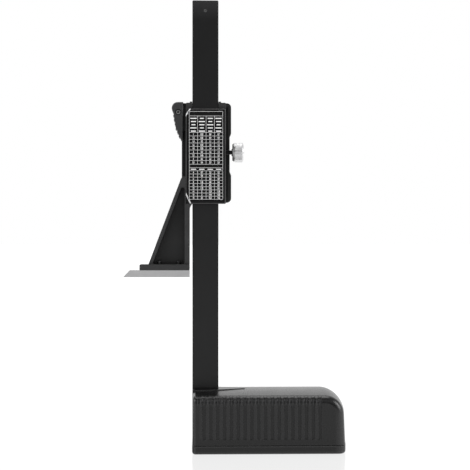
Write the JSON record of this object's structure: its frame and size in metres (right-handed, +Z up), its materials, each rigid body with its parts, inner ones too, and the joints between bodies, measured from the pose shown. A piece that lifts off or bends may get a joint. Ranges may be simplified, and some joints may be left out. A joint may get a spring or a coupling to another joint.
{
  "type": "height gauge",
  "caption": "Digital height gauge: a caliper-style slider with a scribing arm runs up a beam on a weighted ribbed base.",
  "frame": {"origin": "on the sole plane, under the centre of the beam", "axes": "+Z up the beam, +X along the base away from the scriber, +Y towards the display side"},
  "size_m": [0.1358, 0.05, 0.275],
  "materials": {
    "moulded_black": "fine matt texture, slightly worn edges",
    "plate_satin": "black satin coating with polished bevels",
    "black_beam": "black satin coating on steel",
    "scale_laminate": "glass-epoxy laminate",
    "scale_print": "printed film with graduations",
    "ballast_steel": "sawn and ground steel",
    "black_screw": "black oxide, rubbed bright at the edges",
    "zinc_screw": "zinc plate",
    "bright_steel": "bright steel",
    "gib_brass": "rolled brass",
    "ground_steel": "ground, grain along the length",
    "table_print": "black label with a white printed table",
    "clear_window": "clear acrylic",
    "board_laminate": "green solder resist",
    "chip_resin": "moulded resin",
    "lcd_glass": "grey-green display",
    "silicone_dark": "silicone rubber",
    "cell_steel": "nickel-plated steel",
    "spring_metal": "plated spring bronze",
    "button_plastic": "moulded, matt",
    "knurled_steel": "nickel-plated, knurled"
  },
  "bodies": {
    "stand": {"base_housing": "moulded_black", "sole_plate": "moulded_black", "ballast_weight": "ballast_steel", "beam_set_screws": "black_screw", "base_screws": "zinc_screw", "ballast_screws": "zinc_screw", "beam": "black_beam", "scale_strip": "scale_laminate", "scale_film": "scale_print", "stop_screw": "black_screw"},
    "slider": {"slider_frame": "moulded_black", "gib_strip": "gib_brass", "scriber": "ground_steel", "scriber_screws": "bright_steel", "back_plate": "plate_satin", "table_label": "table_print", "body_screws": "zinc_screw", "display_housing": "moulded_black", "display_window": "clear_window", "circuit_board": "board_laminate", "controller_chip": "chip_resin", "lcd_panel": "lcd_glass", "lcd_connectors": "silicone_dark", "keypad_mat": "silicone_dark", "battery": "cell_steel", "battery_contacts": "spring_metal", "thumb_grip": "moulded_black", "thumb_grip_screw": "black_screw"},
    "lock_screw": {"lock_screw": "knurled_steel"},
    "button_on_off": {"button_on_off": "button_plastic"},
    "button_zero": {"button_zero": "button_plastic"},
    "button_unit": {"button_unit": "button_plastic"},
    "battery_cover": {"battery_cover": "moulded_black"}
  },
  "joints": [
    {"name": "slider_slide", "type": "slide", "parent": "stand", "child": "slider", "axis": [0, 0, 1], "range_m": [-0.1051, 0.0535]},
    {"name": "lock_turn", "type": "hinge", "parent": "slider", "child": "lock_screw", "pos_m": [0.0182, 0, 0.1817], "axis": [1, 0, 0], "range_deg": [0, 720]},
    {"name": "on_off_press", "type": "slide", "parent": "slider", "child": "button_on_off", "axis": [0, -1, 0], "range_m": [0, 0.0007], "stiffness_N_per_m": 900},
    {"name": "zero_press", "type": "slide", "parent": "slider", "child": "button_zero", "axis": [0, -1, 0], "range_m": [0, 0.0007], "stiffness_N_per_m": 900},
    {"name": "unit_press", "type": "slide", "parent": "slider", "child": "button_unit", "axis": [0, -1, 0], "range_m": [0, 0.0007], "stiffness_N_per_m": 900},
    {"name": "battery_cover_slide", "type": "slide", "parent": "slider", "child": "battery_cover", "axis": [0, 0, 1], "range_m": [0, 0.012]}
  ]
}
